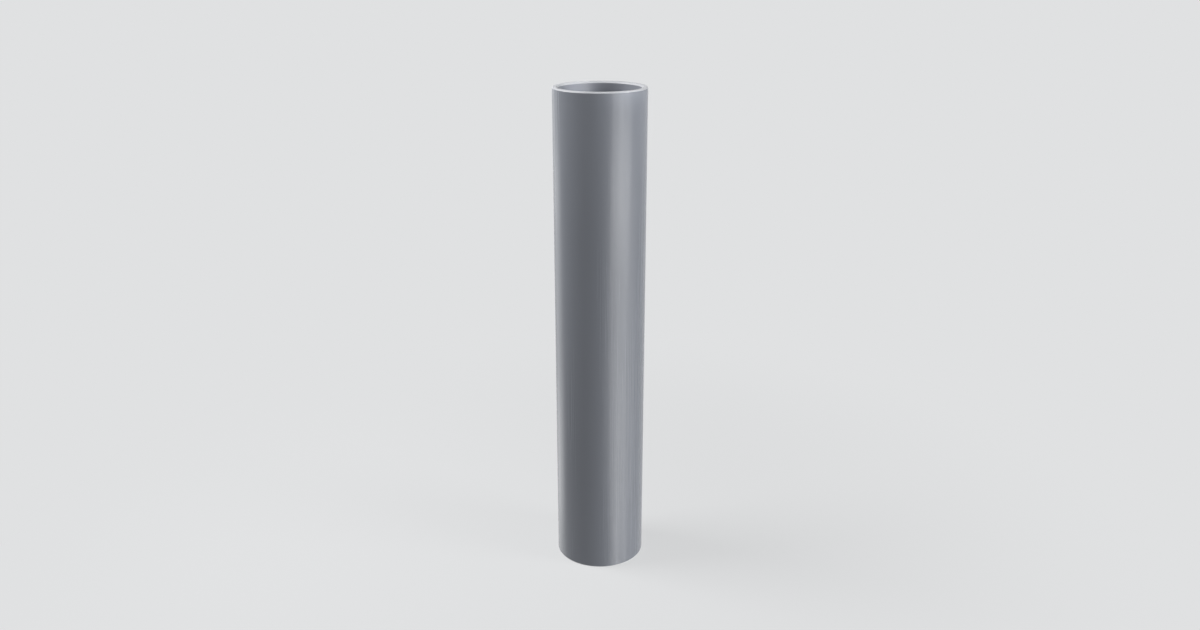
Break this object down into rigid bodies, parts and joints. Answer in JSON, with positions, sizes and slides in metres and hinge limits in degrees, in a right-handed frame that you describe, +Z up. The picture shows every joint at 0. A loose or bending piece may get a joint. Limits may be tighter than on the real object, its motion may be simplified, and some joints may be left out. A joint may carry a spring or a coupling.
{
  "type": "pvc tube",
  "caption": "Straight round grey PVC tube, open right through, with square-cut ends chamfered inside and outside.",
  "frame": {"origin": "centre of the lower end, on the surface that the tube stands on", "axes": "+Z up along the tube's own axis, from the lower end to the upper one; X and Y are alike, because the tube is round"},
  "size_m": [0.1099, 0.11, 0.6],
  "materials": {
    "grey_pvc": "satin"
  },
  "bodies": {
    "root": {"tube": "grey_pvc"}
  },
  "joints": []
}
